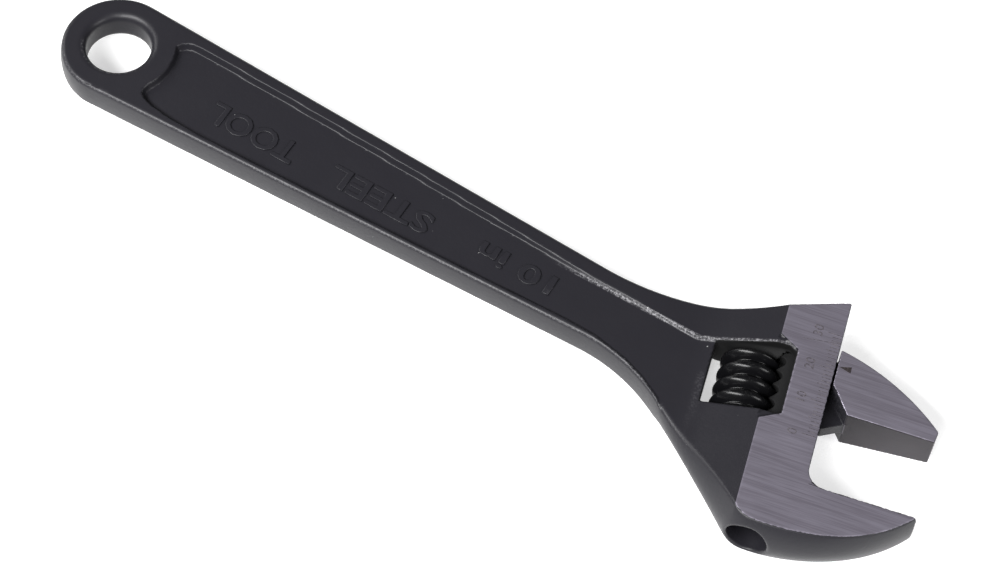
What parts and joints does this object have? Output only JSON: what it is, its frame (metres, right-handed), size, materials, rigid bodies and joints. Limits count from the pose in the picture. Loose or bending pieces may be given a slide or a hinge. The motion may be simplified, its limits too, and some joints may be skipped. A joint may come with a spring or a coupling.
{
  "type": "adjustable wrench",
  "caption": "Adjustable wrench with an I-section handle, a hang hole, an angled head, a sliding jaw and its worm.",
  "frame": {"origin": "centre of the hang hole, on the mid-plane of the thickness", "axes": "+X along the handle towards the head, +Y towards the movable jaw's side, +Z out of the upper face, along the hang hole"},
  "size_m": [0.2569, 0.0682, 0.017],
  "materials": {
    "black_forging": "black finished forging, semi-gloss, with a bare ground band, jaw faces and scale on the head",
    "ground_steel": "ground bare steel with fine grinding lines, black on the shank and neck",
    "black_worm": "oiled black, glossy",
    "plain_steel": "plain turned steel"
  },
  "bodies": {
    "body": {"body": "black_forging", "worm_pin": "plain_steel", "worm_spring": "plain_steel"},
    "movable_jaw": {"movable_jaw": "ground_steel"},
    "worm": {"worm": "black_worm"}
  },
  "joints": [
    {"name": "jaw_slide", "type": "slide", "parent": "body", "child": "movable_jaw", "axis": [-0.2588, 0.9659, 0], "range_m": [-0.0216, 0.0083]},
    {"name": "worm_turn", "type": "hinge", "parent": "body", "child": "worm", "pos_m": [0.18847, 0.00001, 0], "axis": [-0.2588, 0.9659, 0], "range_deg": [-720, 1860]}
  ],
  "couplings": [
    {"joint": "worm_turn", "follows": "jaw_slide", "rad_per_m": -1496}
  ]
}
